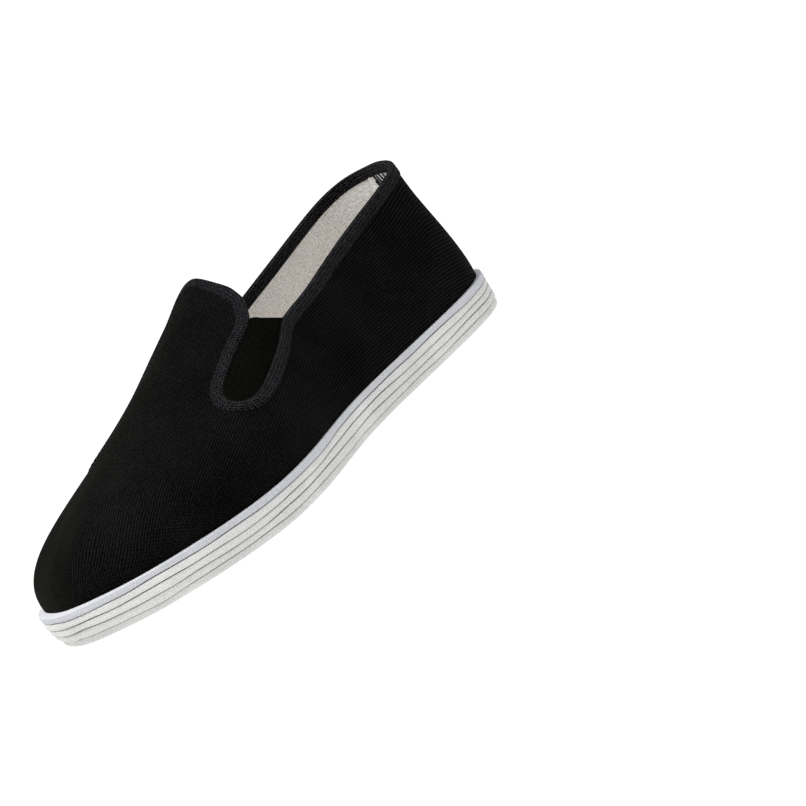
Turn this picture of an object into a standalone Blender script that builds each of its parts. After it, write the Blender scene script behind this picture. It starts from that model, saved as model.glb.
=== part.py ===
"""Right cloth slip-on shoe: five cloth sole layers, insole, twill upper, binding tape and two elastic gussets.

The upper, its binding and its gussets are all read from one surface, written as a function of two numbers:
turn, which goes once round the shoe from the heel (0) along the medial side to the toe (0.5) and back, and
rise, from the feather edge on the sole (0) to the collar or throat (1).
Frame: metres, +Z up, toe towards -Y, medial side towards +X, origin on the floor under the middle of the shoe.
"""
from typing import NamedTuple

import bmesh
import bpy
import numpy as np
from mathutils import Vector
from mathutils.geometry import delaunay_2d_cdt

MM = 0.001

# Driving sizes, in millimetres
LENGTH = 275.0
BALL_WIDTH = 100.0
INSTEP_HEIGHT = 68.0
TOE_SPRING = 4.5
WALL = 2.0
GAP = 0.3

# Sole
LAYER_THICKNESS = 2.6
LAYER_INSETS = (0.9, 0.3, 0.2, 0.1, 0.0)
LAYER_NAMES = ("outsole", "sole_layer_2", "sole_layer_3", "sole_layer_4", "welt_layer")
EDGE_ROUNDING = 0.9
SPRING_START = 0.70
RIM = 1.0
# At its two ends the sole stands out further, and the upper is drawn in
HEEL_LEDGE = 1.2
TOE_LEDGE = 2.4
END_TUCK = 0.9
INSOLE_THICKNESS = 1.5
INSOLE_ROUNDING = 0.6
INSOLE_CLEARANCE = 1.0
# Parts of a plate's thickness, and of its edge rounding, from its bottom to its top
EDGE_PROFILE = ((0.0, 1.0), (0.3, 0.15), (0.7, 0.15), (1.0, 1.0))

# Binding tape and gussets. FOLD_START is a part of the tape's width, GUSSET_REACH of the way round a slot
BINDING_WIDTH = 5.4
BINDING_PROUD = 0.5
FOLD_START = 0.2
FOLD_ROUNDING = 0.7
GUSSET_THICKNESS = 1.2
GUSSET_DEPTH = 0.5
GUSSET_REACH = 0.94

# Mesh density
SOLE_POINTS = 72
UPPER_POINTS = 96
UPPER_RISES = (0.0, 0.07, 0.16, 0.27, 0.38, 0.49, 0.60, 0.71, 0.82, 0.91)
UPRIGHT_RISE = 0.27
SEAM_CLEARANCE = 0.03
BORDER_CLEARANCE = 2.5
BINDING_POINTS = 176
GUSSET_ROWS = 12
GUSSET_COLUMNS = 5


class Section(NamedTuple):
    """One section of the last. Widths and bulge are parts of BALL_WIDTH, collar_from_heel of LENGTH,
    and heights, wall_rise and drop of INSTEP_HEIGHT."""
    sole_medial: float
    sole_lateral: float
    collar_medial: float
    collar_lateral: float
    collar_from_heel: float
    collar_height: float
    wall_rise: float
    bulge: float
    reach: float
    drop: float


# A row for each tenth of the way from the heel to the toe. wall_rise and bulge say how steeply the wall
# stands on the sole, reach and drop how it runs in to the collar or throat.
SECTIONS = (
    Section(0.000, 0.000, 0.000, 0.000, 0.043, 0.863, 0.300, 0.040, -0.32, 0.323),
    Section(0.160, 0.200, 0.106, 0.120, 0.055, 0.863, 0.306, 0.021, -0.10, 0.307),
    Section(0.285, 0.305, 0.236, 0.225, 0.102, 0.824, 0.270, 0.023, 0.36, 0.290),
    Section(0.330, 0.340, 0.240, 0.250, 0.215, 0.743, 0.250, 0.015, 0.30, 0.265),
    Section(0.340, 0.375, 0.240, 0.270, 0.347, 0.654, 0.250, 0.015, 0.30, 0.235),
    Section(0.375, 0.425, 0.270, 0.310, 0.465, 0.603, 0.290, 0.025, 0.40, 0.257),
    Section(0.485, 0.490, 0.285, 0.300, 0.502, 0.735, 0.330, 0.030, 0.55, 0.294),
    Section(0.495, 0.515, 0.230, 0.215, 0.507, 0.820, 0.350, 0.035, 0.50, 0.368),
    Section(0.370, 0.430, 0.180, 0.135, 0.504, 0.891, 0.389, 0.038, 0.49, 0.514),
    Section(0.215, 0.195, 0.095, 0.045, 0.500, 0.974, 0.377, 0.017, 0.51, 0.501),
    Section(0.000, 0.000, 0.030, -0.030, 0.498, 1.008, 0.388, 0.007, 0.54, 0.494),
)


class EdgePoint(NamedTuple):
    """A point of the opening's free edge."""
    turn: float
    rise: float


# The slot for the elastic, from its rear top corner down round its closed end to its front top corner
SLOT = (
    EdgePoint(0.262, 0.950),
    EdgePoint(0.289, 0.760),
    EdgePoint(0.309, 0.620),
    EdgePoint(0.326, 0.535),
    EdgePoint(0.345, 0.533),
    EdgePoint(0.366, 0.605),
    EdgePoint(0.376, 0.680),
    EdgePoint(0.370, 0.755),
    EdgePoint(0.359, 0.805),
    EdgePoint(0.343, 0.855),
    EdgePoint(0.334, 0.910),
)
SLOT_TO_COLLAR = EdgePoint(0.248, 0.990)
SLOT_TO_THROAT = (EdgePoint(0.338, 0.955), EdgePoint(0.351, 0.992))
COLLAR_TURNS = (0.0, 0.06, 0.12, 0.18, 0.225)
THROAT_TURNS = (0.375, 0.415, 0.46, 0.5)

SOLE_HEIGHT = len(LAYER_NAMES) * LAYER_THICKNESS + (len(LAYER_NAMES) - 1) * GAP


class ClosedSpline:
    """Periodic cubic spline through values at the given knots, which repeats after one period."""

    def __init__(self, knots, values, period):
        count = len(knots)
        self.knots = np.append(knots, knots[0] + period)
        self.values = np.vstack([values, values[:1]])
        self.period = period
        steps = np.diff(self.knots)
        slopes = np.diff(self.values, axis=0) / steps[:, None]
        matrix = np.zeros((count, count))
        right = np.zeros_like(slopes)
        for i in range(count):
            before = (i - 1) % count
            matrix[i, before] += steps[before]
            matrix[i, i] += 2 * (steps[before] + steps[i])
            matrix[i, (i + 1) % count] += steps[i]
            right[i] = 6 * (slopes[i] - slopes[before])
        bends = np.linalg.solve(matrix, right)
        self.bends = np.vstack([bends, bends[:1]])

    def __call__(self, at):
        place = self.knots[0] + np.mod(np.asarray(at) - self.knots[0], self.period)
        i = np.clip(np.searchsorted(self.knots, place, side="right") - 1, 0, len(self.knots) - 2)
        step = self.knots[i + 1] - self.knots[i]
        b = ((place - self.knots[i]) / step)[..., None]
        a = 1 - b
        curve = (a ** 3 - a) * self.bends[i] + (b ** 3 - b) * self.bends[i + 1]
        return a * self.values[i] + b * self.values[i + 1] + curve * (step ** 2 / 6)[..., None]


def section_spline():
    """All columns of SECTIONS as one spline of turn: sole x, collar x, and then the other columns."""
    medial = np.array([[s.sole_medial, s.collar_medial, *s[4:]] for s in SECTIONS])
    lateral = np.array([[-s.sole_lateral, -s.collar_lateral, *s[4:]] for s in SECTIONS])
    rows = np.vstack([medial, lateral[-2:0:-1]])
    return ClosedSpline(np.arange(len(rows)) / len(rows), rows, 1.0)


SPLINE = section_spline()


def sole_edge(turn):
    """Sole outline at the given turns, as x and distance from the heel."""
    part = 1 - np.abs(1 - 2 * np.mod(turn, 1))
    return np.stack([BALL_WIDTH * SPLINE(turn)[..., 0], LENGTH * (1 - np.cos(np.pi * part)) / 2], -1)


def outward(turn):
    """Unit outward normals of the sole outline in plan."""
    step = 1e-4
    along = sole_edge(turn + step) - sole_edge(turn - step)
    along /= np.linalg.norm(along, axis=-1, keepdims=True)
    return np.stack([along[..., 1], -along[..., 0]], -1)


def end_part(turn):
    """1 at the heel's and the toe's middle, falling to 0 at the sides: the fourth power of a cosine."""
    return np.cos(2 * np.pi * turn) ** 4


def ledge(turn):
    """How much further the sole stands out at its two ends."""
    return np.where(np.cos(2 * np.pi * turn) > 0, HEEL_LEDGE, TOE_LEDGE) * end_part(turn)


def spring(from_heel):
    """How far the sole has risen off the floor at a distance from the heel."""
    part = np.clip((from_heel / LENGTH - SPRING_START) / (1 - SPRING_START), 0, None)
    return TOE_SPRING * part ** 2


def upper_surface(turn, rise):
    """Outer face of the upper: at each turn a cubic curve from the feather edge to the collar or throat."""
    turn, rise = np.broadcast_arrays(turn, rise)
    plan = sole_edge(turn)
    normal = outward(turn)
    row = SPLINE(turn)
    foot = plan - (RIM + END_TUCK * end_part(turn))[..., None] * normal
    foot_z = SOLE_HEIGHT + GAP + spring(foot[..., 1])
    edge = np.stack([BALL_WIDTH * row[..., 1], LENGTH * row[..., 2]], -1)
    edge_z = SOLE_HEIGHT + INSTEP_HEIGHT * row[..., 3]
    wall_rise, bulge, reach, drop = (row[..., i] for i in (4, 5, 6, 7))
    first = foot + (BALL_WIDTH * bulge)[..., None] * normal
    second = edge - reach[..., None] * (edge - foot)
    poles = (
        (foot, foot_z),
        (first, foot_z + INSTEP_HEIGHT * wall_rise),
        (second, edge_z - INSTEP_HEIGHT * drop),
        (edge, edge_z),
    )
    weights = ((1 - rise) ** 3, 3 * rise * (1 - rise) ** 2, 3 * rise ** 2 * (1 - rise), rise ** 3)
    xy = sum(w[..., None] * p for w, (p, _) in zip(weights, poles))
    z = sum(w * h for w, (_, h) in zip(weights, poles))
    return np.concatenate([xy, z[..., None]], -1)


def surface_frame(turn, rise):
    """The surface's two slopes, by turn and by rise, and its unit outward normal."""
    step = 1e-4
    by_turn = (upper_surface(turn + step, rise) - upper_surface(turn - step, rise)) / (2 * step)
    by_rise = (upper_surface(turn, rise + step) - upper_surface(turn, rise - step)) / (2 * step)
    normal = np.cross(by_turn, by_rise)
    normal /= np.linalg.norm(normal, axis=-1, keepdims=True)
    return by_turn, by_rise, normal


def off_surface(edge, height):
    """Points at a height along the normal from the surface at edge points (turn, rise)."""
    normal = surface_frame(edge[..., 0], edge[..., 1])[2]
    return upper_surface(edge[..., 0], edge[..., 1]) + height * normal


def free_edge():
    """The opening's free edge as a closed curve of (turn, rise), evenly spaced along its real length."""
    medial = [EdgePoint(t, 1.0) for t in COLLAR_TURNS] + [SLOT_TO_COLLAR, *SLOT, *SLOT_TO_THROAT]
    medial += [EdgePoint(t, 1.0) for t in THROAT_TURNS]
    lateral = [EdgePoint(1 - p.turn, p.rise) for p in medial[-2:0:-1]]
    points = np.array(medial + lateral)
    places = upper_surface(points[:, 0], points[:, 1])
    hops = np.linalg.norm(np.diff(np.vstack([places, places[:1]]), axis=0), axis=1)
    knots = np.concatenate([[0.0], np.cumsum(hops)[:-1]])
    period = hops.sum()
    drift = np.stack([points[:, 0] - knots / period, points[:, 1]], -1)
    spline = ClosedSpline(knots, drift, period)

    def read(at):
        value = spline(at)
        return np.stack([value[..., 0] + at / period, value[..., 1]], -1)

    fine = read(np.linspace(0, period, 4001))
    line = upper_surface(fine[:, 0], fine[:, 1])
    run = np.concatenate([[0.0], np.cumsum(np.linalg.norm(np.diff(line, axis=0), axis=1))])
    even = np.arange(BINDING_POINTS) * run[-1] / BINDING_POINTS
    return read(np.interp(even, run, np.linspace(0, period, 4001)))


def moved_in(edge, distance):
    """The edge moved over the surface, square to itself, towards the sole by a real distance."""
    steps = 4
    for _ in range(steps):
        ahead = np.roll(edge, -1, axis=0)
        behind = np.roll(edge, 1, axis=0)
        ahead[-1, 0] += 1
        behind[0, 0] -= 1
        along = upper_surface(ahead[:, 0], ahead[:, 1]) - upper_surface(behind[:, 0], behind[:, 1])
        along /= np.linalg.norm(along, axis=1, keepdims=True)
        by_turn, by_rise, normal = surface_frame(edge[:, 0], edge[:, 1])
        across = np.cross(along, normal)
        slopes = np.stack([by_turn, by_rise], -1)
        hop = np.einsum("nij,nj->ni", np.linalg.pinv(slopes), across)
        edge = edge + hop * distance / steps
    return edge


def slot_run(edge, lateral):
    """Indices of the edge points from the rear corner of one slot round its closed end to its front corner."""
    half = np.arange(len(edge) // 2)
    side = -half % len(edge) if lateral else half
    rise = edge[side, 1]
    start = np.argmax(rise < SLOT[0].rise)
    end = len(rise) - np.argmax(rise[::-1] < SLOT[-1].rise)
    return side[start:end]


def closed_grid(points):
    """Mesh data of a grid of points that closes on itself both ways."""
    rows, columns = points.shape[:2]
    i, j = np.meshgrid(np.arange(rows), np.arange(columns), indexing="ij")
    down, across = (i + 1) % rows, (j + 1) % columns
    faces = np.stack([i * columns + j, i * columns + across, down * columns + across, down * columns + j], -1)
    return points.reshape(-1, 3), faces.reshape(-1, 4).tolist()


def plate(outlines):
    """Mesh data of a plate from stacked rings of points. Ring point k faces its mirror point across the sole."""
    rings, count = outlines.shape[:2]
    half = count // 2
    faces = []
    for ring in range(rings - 1):
        for k in range(count):
            after = (k + 1) % count
            low, high = ring * count, (ring + 1) * count
            faces.append([low + k, low + after, high + after, high + k])
    for base in (0, (rings - 1) * count):
        for k in range(half):
            face = [base + k, base + k + 1, base + (count - k - 1) % count, base + (count - k) % count]
            faces.append(list(dict.fromkeys(face)))
    return outlines.reshape(-1, 3), faces


def slab(outer, inner):
    """Mesh data of a panel between two equal open grids of points."""
    rows, columns = outer.shape[:2]
    size = rows * columns
    faces = []
    for i in range(rows - 1):
        for j in range(columns - 1):
            a = i * columns + j
            face = [a, a + 1, a + columns + 1, a + columns]
            faces.append(face)
            faces.append([size + k for k in reversed(face)])
    rim = [j for j in range(columns)]
    rim += [i * columns + columns - 1 for i in range(1, rows)]
    rim += [(rows - 1) * columns + j for j in range(columns - 2, -1, -1)]
    rim += [i * columns for i in range(rows - 2, 0, -1)]
    for a, b in zip(rim, rim[1:] + rim[:1]):
        faces.append([b, a, size + a, size + b])
    return np.concatenate([outer.reshape(-1, 3), inner.reshape(-1, 3)]), faces


def sole_plate(base, thickness, inset, rounding):
    """A plate of the sole at a height over the floor, with a rounded edge, lifted by the toe spring.

    inset is how far inside the sole's outline the plate ends, at each of SOLE_POINTS turns."""
    turns = np.arange(SOLE_POINTS) / SOLE_POINTS
    normal = outward(turns)
    rings = []
    for part, back in EDGE_PROFILE:
        plan = sole_edge(turns) - (inset + back * rounding)[:, None] * normal
        z = base + part * thickness + spring(plan[:, 1])
        rings.append(np.column_stack([plan, z]))
    return plate(np.array(rings))


def make_sole():
    """The five cloth layers, from the floor up, and the insole."""
    meshes = {}
    turns = np.arange(SOLE_POINTS) / SOLE_POINTS
    for i, (name, inset) in enumerate(zip(LAYER_NAMES, LAYER_INSETS)):
        base = i * (LAYER_THICKNESS + GAP)
        meshes[name] = sole_plate(base, LAYER_THICKNESS, inset - ledge(turns), EDGE_ROUNDING)
    inset = RIM + END_TUCK * end_part(turns) + WALL + INSOLE_CLEARANCE
    meshes["insole"] = sole_plate(SOLE_HEIGHT + GAP, INSOLE_THICKNESS, inset, INSOLE_ROUNDING)
    return meshes


def under_border(points, border):
    """Which points (turn, rise) lie between the feather edge and the tape's border, by crossing count."""
    outline = np.vstack([border, [border[0] + (1, 0)], [border[0, 0] + 1, -1], [border[0, 0], -1]])
    after = np.roll(outline, -1, axis=0)
    spans = (outline[:, 1] > points[:, None, 1]) != (after[:, 1] > points[:, None, 1])
    fall = np.where(after[:, 1] == outline[:, 1], 1.0, after[:, 1] - outline[:, 1])
    reach = outline[:, 0] + (points[:, None, 1] - outline[:, 1]) * (after[:, 0] - outline[:, 0]) / fall
    return (spans & (points[:, None, 0] < reach)).sum(1) % 2 == 1


def make_upper(border):
    """The hollow upper: a net of triangles from the feather edge up to the tape's border, on both wall faces."""
    seam = border[0, 0]
    columns = seam + np.arange(UPPER_POINTS + 1) / UPPER_POINTS
    rises = np.array(UPPER_RISES)
    inner_points = np.stack(np.meshgrid(columns[1:-1], rises[1:], indexing="ij"), -1).reshape(-1, 2)
    places = upper_surface(inner_points[:, 0], inner_points[:, 1])
    rim = upper_surface(border[:, 0], border[:, 1])
    clear = np.linalg.norm(places[:, None] - rim, axis=-1).min(1) > BORDER_CLEARANCE
    inner_points = inner_points[under_border(inner_points, border) & clear]
    foot = np.column_stack([columns, np.zeros(len(columns))])
    up = rises[(rises > 0) & (rises < border[0, 1] - SEAM_CLEARANCE)]
    heel = np.column_stack([np.full(len(up), seam), up])
    loop = np.vstack([foot, heel + (1, 0), [border[0] + (1, 0)], border[::-1], heel[::-1]])
    points = np.vstack([loop, inner_points])
    links = [(k, (k + 1) % len(loop)) for k in range(len(loop))]
    flat = [Vector(p) for p in points * (2 * LENGTH, INSTEP_HEIGHT)]
    _, _, triangles, sources, _, _ = delaunay_2d_cdt(flat, links, [], 1, 1e-4)

    # The two edges of the net meet at the heel, so the far edge's points are the near edge's
    weld = np.arange(len(points))
    first = len(foot) - 1
    weld[first:first + len(up) + 2] = [0, *range(len(loop) - 1, len(loop) - 1 - len(up), -1), len(loop) - len(up) - 1]
    faces = [[int(weld[sources[k][0]]) for k in triangle] for triangle in triangles]

    normal = surface_frame(points[:, 0], points[:, 1])[2]
    normal[:, 2] *= np.clip(points[:, 1] / UPRIGHT_RISE, 0, 1)
    normal /= np.linalg.norm(normal, axis=-1, keepdims=True)
    outer = upper_surface(points[:, 0], points[:, 1])
    used = sorted({k for face in faces for k in face})
    place = {k: i for i, k in enumerate(used)}
    faces = [[place[k] for k in face] for face in faces]
    outer, normal = outer[used], normal[used]
    size = len(used)
    sides = {(a, b) for face in faces for a, b in zip(face, face[1:] + face[:1])}
    rims = [[b, a, size + a, size + b] for a, b in sorted(sides) if (b, a) not in sides]
    faces += [[size + k for k in reversed(face)] for face in faces]
    return np.concatenate([outer, outer - WALL * normal]), faces + rims


def make_binding(edge, border):
    """The tape: one closed loop with a rounded free edge, a step proud of the wall on both faces."""
    outer, inner = BINDING_PROUD, -(WALL + BINDING_PROUD)
    outer_leg = ((1.0, outer), (FOLD_START, outer), (0.0, outer - FOLD_ROUNDING))
    inner_leg = ((0.0, inner + FOLD_ROUNDING), (FOLD_START, inner), (1.0, inner))
    rings = [off_surface(edge + across * (border - edge), height) for across, height in outer_leg + inner_leg]
    return closed_grid(np.array(rings))


def make_gusset(run):
    """An elastic panel in one slot, ruled from its rear flank to its front flank."""
    middle = (len(run) - 1) / 2
    steps = np.linspace(0, GUSSET_REACH, GUSSET_ROWS) * middle
    index = np.arange(len(run))
    rear = np.column_stack([np.interp(steps, index, run[:, k]) for k in (0, 1)])
    front = np.column_stack([np.interp(len(run) - 1 - steps, index, run[:, k]) for k in (0, 1)])
    across = np.linspace(0, 1, GUSSET_COLUMNS)[None, :, None]
    grid = rear[:, None] + across * (front - rear)[:, None]
    return slab(off_surface(grid, -GUSSET_DEPTH), off_surface(grid, -GUSSET_DEPTH - GUSSET_THICKNESS))


def make_material(name, colour, roughness):
    """A Principled material in one colour, given as linear red, green and blue."""
    material = bpy.data.materials.new(name)
    material.use_nodes = True
    shader = material.node_tree.nodes["Principled BSDF"]
    shader.inputs["Base Color"].default_value = (*colour, 1.0)
    shader.inputs["Roughness"].default_value = roughness
    shader.inputs["Metallic"].default_value = 0.0
    return material


def add_object(name, data, centre, material):
    """Put mesh data in millimetres, measured from the heel, into an object in the shoe's frame."""
    points, faces = data
    placed = np.column_stack([points[:, 0] - centre[0], centre[1] - points[:, 1], points[:, 2]]) * MM
    mesh = bpy.data.meshes.new(name)
    mesh.from_pydata(placed.tolist(), [], faces)
    work = bmesh.new()
    work.from_mesh(mesh)
    bmesh.ops.recalc_face_normals(work, faces=work.faces)
    work.to_mesh(mesh)
    work.free()
    mesh.shade_smooth()
    mesh.set_sharp_from_angle(angle=np.radians(40))
    item = bpy.data.objects.new(name, mesh)
    bpy.context.scene.collection.objects.link(item)
    mesh.materials.append(material)


def build():
    """Make every piece of the shoe."""
    for item in list(bpy.data.objects):
        bpy.data.objects.remove(item, do_unlink=True)

    edge = free_edge()
    tape_border = moved_in(edge, BINDING_WIDTH)
    cloth_border = moved_in(edge, BINDING_WIDTH + GAP)
    gusset_border = moved_in(edge, -GAP)

    meshes = make_sole()
    meshes["upper"] = make_upper(cloth_border)
    meshes["binding"] = make_binding(edge, tape_border)
    meshes["gusset_medial"] = make_gusset(gusset_border[slot_run(edge, lateral=False)])
    meshes["gusset_lateral"] = make_gusset(gusset_border[slot_run(edge, lateral=True)])

    everything = np.vstack([points for points, _ in meshes.values()])
    centre = (everything.min(0) + everything.max(0)) / 2

    white_cloth = make_material("bleached_cotton", (0.68, 0.68, 0.66), 0.9)
    welt_cloth = make_material("bluish_cotton", (0.66, 0.67, 0.75), 0.9)
    twill = make_material("black_cotton_twill", (0.008, 0.008, 0.008), 0.85)
    tape = make_material("charcoal_tape", (0.024, 0.024, 0.03), 0.9)
    elastic = make_material("black_elastic", (0.003, 0.003, 0.002), 0.8)
    finishes = {"welt_layer": welt_cloth, "upper": twill, "binding": tape}
    finishes.update(gusset_medial=elastic, gusset_lateral=elastic)

    for name, data in meshes.items():
        add_object(name, data, centre, finishes.get(name, white_cloth))


build()
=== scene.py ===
"""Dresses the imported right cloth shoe: twill upper, lining, knitted tape, elastic gussets and a sole of cloth layers.

Lengths are in millimetres until a piece is placed. A place on the upper is a pair: turn, which goes once round
the shoe from the heel (0) along the medial side to the toe (0.5) and back, and rise, from the feather edge on
the sole (0) to the collar or throat (1). Plan points are x, medial side positive, and distance from the heel.
"""
import logging
import math
from dataclasses import dataclass, field
from enum import Enum
from typing import Any, NamedTuple, Optional, Sequence

import bpy
import numpy as np
from mathutils import Matrix, Vector


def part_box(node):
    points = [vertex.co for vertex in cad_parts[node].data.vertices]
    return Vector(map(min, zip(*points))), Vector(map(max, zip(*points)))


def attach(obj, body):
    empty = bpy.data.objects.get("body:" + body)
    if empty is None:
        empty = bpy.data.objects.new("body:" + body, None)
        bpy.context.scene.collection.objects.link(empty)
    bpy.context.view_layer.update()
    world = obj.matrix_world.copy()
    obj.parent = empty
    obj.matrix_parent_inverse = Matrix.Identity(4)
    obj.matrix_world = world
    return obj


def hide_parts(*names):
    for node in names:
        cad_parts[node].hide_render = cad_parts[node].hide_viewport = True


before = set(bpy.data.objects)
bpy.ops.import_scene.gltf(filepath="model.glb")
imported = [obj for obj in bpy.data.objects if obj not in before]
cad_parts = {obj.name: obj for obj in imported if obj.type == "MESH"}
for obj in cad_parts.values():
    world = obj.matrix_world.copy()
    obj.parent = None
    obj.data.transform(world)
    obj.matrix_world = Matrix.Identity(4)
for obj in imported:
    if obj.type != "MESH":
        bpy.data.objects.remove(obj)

Array = np.ndarray
MM = 0.001
PICTURE = 806
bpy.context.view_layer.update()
UV_NAME = "cloth_mm"
GRAIN_SIDES = 6
GRAIN_ANGLES = np.arange(GRAIN_SIDES) / GRAIN_SIDES * 2 * np.pi
DOWN = np.array([0.0, 0.0, -1.0])
SMALL_STEP = 1e-4
LOG = logging.getLogger("cloth_shoe")


# The form of the shoe


class Grain(NamedTuple):
    """The size of a stitch: distance to the next, its length as a share of that, half its width and height."""

    pitch: float
    share: float
    half_width: float
    half_height: float


class Section(NamedTuple):
    """One section of the last. Widths and bulge are parts of the ball width, collar_from_heel of the length,
    and heights, wall_rise and drop of the instep height."""

    sole_medial: float
    sole_lateral: float
    collar_medial: float
    collar_lateral: float
    collar_from_heel: float
    collar_height: float
    wall_rise: float
    bulge: float
    reach: float
    drop: float


# A row for each tenth of the way from the heel to the toe
SECTIONS = (
    Section(0.000, 0.000, 0.000, 0.000, 0.043, 0.863, 0.300, 0.040, -0.32, 0.323),
    Section(0.160, 0.200, 0.106, 0.120, 0.055, 0.863, 0.306, 0.021, -0.10, 0.307),
    Section(0.285, 0.305, 0.236, 0.225, 0.102, 0.824, 0.270, 0.023, 0.36, 0.290),
    Section(0.330, 0.340, 0.240, 0.250, 0.215, 0.743, 0.250, 0.015, 0.30, 0.265),
    Section(0.340, 0.375, 0.240, 0.270, 0.347, 0.654, 0.250, 0.015, 0.30, 0.235),
    Section(0.375, 0.425, 0.270, 0.310, 0.465, 0.603, 0.290, 0.025, 0.40, 0.257),
    Section(0.485, 0.490, 0.285, 0.300, 0.502, 0.735, 0.330, 0.030, 0.55, 0.294),
    Section(0.495, 0.515, 0.230, 0.215, 0.507, 0.820, 0.350, 0.035, 0.50, 0.368),
    Section(0.370, 0.430, 0.180, 0.135, 0.504, 0.891, 0.389, 0.038, 0.49, 0.514),
    Section(0.215, 0.195, 0.095, 0.045, 0.500, 0.974, 0.377, 0.017, 0.51, 0.501),
    Section(0.000, 0.000, 0.030, -0.030, 0.498, 1.008, 0.388, 0.007, 0.54, 0.494),
)


class EdgePoint(NamedTuple):
    """A point of the opening's free edge."""

    turn: float
    rise: float


# The slot for the elastic, from its rear top corner down round its closed end to its front top corner
SLOT = (
    EdgePoint(0.262, 0.950),
    EdgePoint(0.289, 0.760),
    EdgePoint(0.309, 0.620),
    EdgePoint(0.326, 0.535),
    EdgePoint(0.345, 0.533),
    EdgePoint(0.366, 0.605),
    EdgePoint(0.376, 0.680),
    EdgePoint(0.370, 0.755),
    EdgePoint(0.359, 0.805),
    EdgePoint(0.343, 0.855),
    EdgePoint(0.334, 0.910),
)
SLOT_TO_COLLAR = EdgePoint(0.248, 0.990)
SLOT_TO_THROAT = (EdgePoint(0.338, 0.955), EdgePoint(0.351, 0.992))
COLLAR_TURNS = (0.0, 0.06, 0.12, 0.18, 0.225)
THROAT_TURNS = (0.375, 0.415, 0.46, 0.5)


class ClosedSpline:
    """Periodic cubic spline through values at given knots."""

    def __init__(self, knots: Array, values: Array, period: float) -> None:
        """Solves for the spline's bends.

        Args:
            knots: increasing places of the values.
            values: one row for each knot.
            period: distance after which the curve repeats.
        """
        count = len(knots)
        self.knots = np.append(knots, knots[0] + period)
        self.values = np.vstack([values, values[:1]])
        self.period = period
        steps = np.diff(self.knots)
        slopes = np.diff(self.values, axis=0) / steps[:, None]
        before = np.roll(steps, 1)
        rows = np.arange(count)
        matrix = np.zeros((count, count))
        matrix[rows, (rows - 1) % count] += before
        matrix[rows, rows] += 2 * (before + steps)
        matrix[rows, (rows + 1) % count] += steps
        bends = np.linalg.solve(matrix, 6 * (slopes - np.roll(slopes, 1, axis=0)))
        self.bends = np.vstack([bends, bends[:1]])

    def __call__(self, at: Array) -> Array:
        """Reads the spline.

        Args:
            at: places along the knots, of any shape.

        Returns:
            The values there, with one more axis.
        """
        place = self.knots[0] + np.mod(np.asarray(at) - self.knots[0], self.period)
        i = np.clip(np.searchsorted(self.knots, place, side="right") - 1, 0, len(self.knots) - 2)
        step = self.knots[i + 1] - self.knots[i]
        b = ((place - self.knots[i]) / step)[..., None]
        a = 1 - b
        curve = (a ** 3 - a) * self.bends[i] + (b ** 3 - b) * self.bends[i + 1]
        return a * self.values[i] + b * self.values[i + 1] + curve * (step ** 2 / 6)[..., None]


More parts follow.
